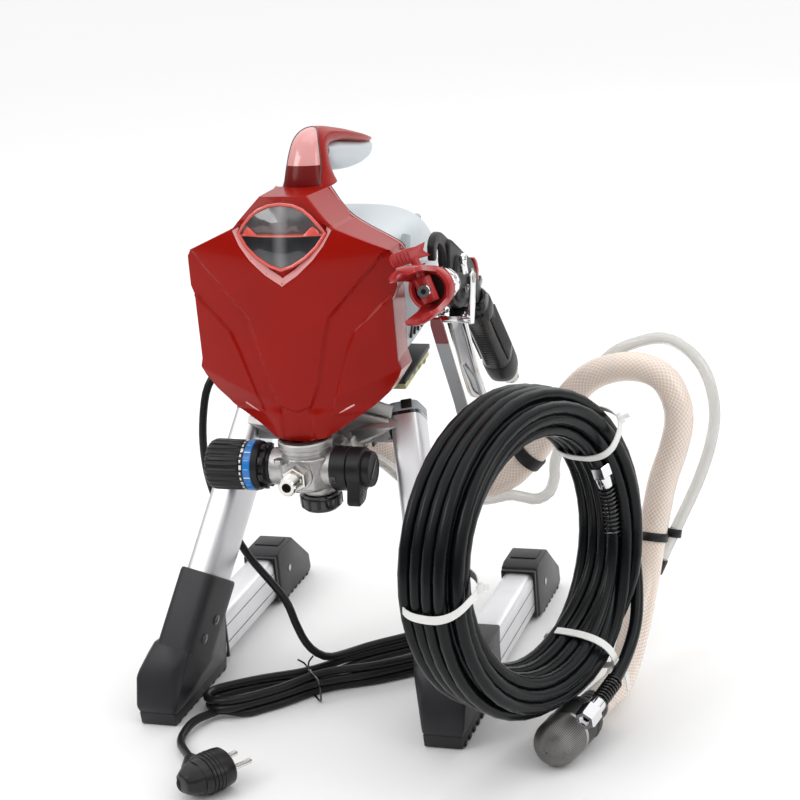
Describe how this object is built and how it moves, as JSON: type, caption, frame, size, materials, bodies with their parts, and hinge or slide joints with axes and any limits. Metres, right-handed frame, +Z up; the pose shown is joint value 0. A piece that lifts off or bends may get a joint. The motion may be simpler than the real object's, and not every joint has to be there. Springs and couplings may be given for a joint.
{
  "type": "airless paint sprayer",
  "caption": "Electric airless paint sprayer on a two-legged stand with a carrying handle, spray gun on its side hook, coiled hose, suction hose with strainer and mains cord",
  "frame": {"origin": "middle of the stand's footprint on the floor, cords and hoses left out", "axes": "+Z up, +X to the machine's right as seen from its front, +Y to the rear; the red cover faces -Y"},
  "size_m": [0.4571, 0.4364, 0.47],
  "materials": {
    "boot_rubber": "satin moulded rubber",
    "leg_aluminium": "polished anodised extrusion",
    "cap_black": "matt moulded plastic",
    "cast_alloy": "satin die casting",
    "motor_steel": "plain steel",
    "gear_steel": "machined steel",
    "chrome_plate": "bright plated",
    "knob_black": "moulded, semi-gloss",
    "ring_blue": "blue ring with plain silver marks",
    "cover_red": "deep gloss red",
    "lens_smoke": "smoked glossy lens, left plain",
    "shroud_grey": "pale blue-grey moulding",
    "gun_black": "satin black",
    "gun_red": "gloss red",
    "steel_strip": "matt steel strip",
    "hose_black": "glossy black hose",
    "hose_braid": "translucent beige with a white braid",
    "tube_clear": "clear flexible tube",
    "mesh_steel": "fine wire mesh",
    "cord_black": "satin black sheath"
  },
  "bodies": {
    "machine": {"front_boot_left": "boot_rubber", "front_boot_right": "boot_rubber", "rear_cap_left": "boot_rubber", "rear_cap_right": "boot_rubber", "leg_tube_left": "leg_aluminium", "leg_tube_right": "leg_aluminium", "floor_tube_left": "leg_aluminium", "floor_tube_right": "leg_aluminium", "leg_top_cap_left": "cap_black", "leg_top_cap_right": "cap_black", "cast_chassis": "cast_alloy", "pump_manifold": "cast_alloy", "pump_collar": "cast_alloy", "motor_housing": "motor_steel", "inlet_valve_cap": "knob_black", "outlet_nipple": "chrome_plate", "pressure_scale_ring": "ring_blue", "pressure_collar": "knob_black", "prime_valve_body": "knob_black", "suction_fitting": "chrome_plate", "suction_hose_clamp": "chrome_plate", "return_barb": "chrome_plate", "front_cover": "cover_red", "emblem_window": "lens_smoke", "handle_front_inlay": "cover_red", "handle_upper": "cover_red", "handle_lower": "shroud_grey", "rear_shroud": "shroud_grey", "control_board_case": "cap_black", "cord_gland": "cap_black", "gun_holder": "steel_strip", "high_pressure_hose_coil": "hose_black", "hose_end_nut": "chrome_plate", "suction_hose": "hose_braid", "return_tube": "tube_clear", "strainer_body": "cap_black", "strainer_mesh": "mesh_steel", "power_cord_drop": "cord_black", "power_cord_hank": "cord_black", "power_cord_tail": "cord_black", "mains_plug": "cord_black"},
    "rotor": {"motor_shaft": "gear_steel", "cooling_fan": "cap_black"},
    "crank": {"crank_gear": "gear_steel"},
    "pump_rod": {"pump_rod_yoke": "gear_steel"},
    "pressure_control": {"pressure_knob": "knob_black"},
    "prime_control": {"prime_knob": "knob_black"},
    "switch_rocker": {"power_switch": "cap_black"},
    "gun": {"gun_body": "gun_black", "gun_grip": "gun_black", "gun_rear_cap": "gun_red", "gun_swivel": "chrome_plate", "trigger_guard_strip": "steel_strip", "gun_diffuser": "chrome_plate"},
    "trigger": {"gun_trigger": "chrome_plate"},
    "lock": {"trigger_lock": "gun_black"},
    "guard": {"tip_guard": "gun_red"},
    "tip": {"spray_tip": "gun_red"}
  },
  "joints": [
    {"name": "motor_spin", "type": "hinge", "parent": "machine", "child": "rotor", "pos_m": [0, -0.01685, 0.3212], "axis": [0, 1, 0], "continuous": true},
    {"name": "crank_spin", "type": "hinge", "parent": "machine", "child": "crank", "pos_m": [0, -0.04485, 0.285], "axis": [0, 1, 0], "continuous": true},
    {"name": "pump_stroke", "type": "slide", "parent": "machine", "child": "pump_rod", "axis": [0, 0, 1], "range_m": [-0.008, 0.008]},
    {"name": "pressure_turn", "type": "hinge", "parent": "machine", "child": "pressure_control", "pos_m": [-0.054, -0.07885, 0.2045], "axis": [-1, 0, 0], "range_deg": [0, 270]},
    {"name": "prime_turn", "type": "hinge", "parent": "machine", "child": "prime_control", "pos_m": [0.038, -0.07885, 0.2045], "axis": [1, 0, 0], "range_deg": [0, 90]},
    {"name": "switch_rock", "type": "hinge", "parent": "machine", "child": "switch_rocker", "pos_m": [-0.075, 0.04215, 0.3], "axis": [0, 1, 0], "range_deg": [-6, 6]},
    {"name": "gun_lift", "type": "slide", "parent": "machine", "child": "gun", "axis": [0, -0.5, 0.866], "range_m": [0, 0.02]},
    {"name": "trigger_pull", "type": "hinge", "parent": "gun", "child": "trigger", "pos_m": [0.115, 0.00215, 0.343], "axis": [1, 0, 0], "range_deg": [0, 18], "stiffness_Nm_per_rad": 1.2, "springref_deg": -8.59},
    {"name": "trigger_lock_turn", "type": "hinge", "parent": "gun", "child": "lock", "pos_m": [0.115, 0.04565, 0.3235], "axis": [1, 0, 0], "range_deg": [0, 30]},
    {"name": "guard_turn", "type": "hinge", "parent": "gun", "child": "guard", "pos_m": [0.115, -0.09085, 0.3577], "axis": [0, 0.9868, -0.162], "range_deg": [0, 60]},
    {"name": "tip_turn", "type": "hinge", "parent": "guard", "child": "tip", "pos_m": [0.115, -0.07901, 0.35576], "axis": [-0.3652, 0.1508, 0.9186], "range_deg": [0, 120]}
  ],
  "couplings": [
    {"joint": "crank_spin", "follows": "motor_spin", "ratio": -0.2}
  ]
}
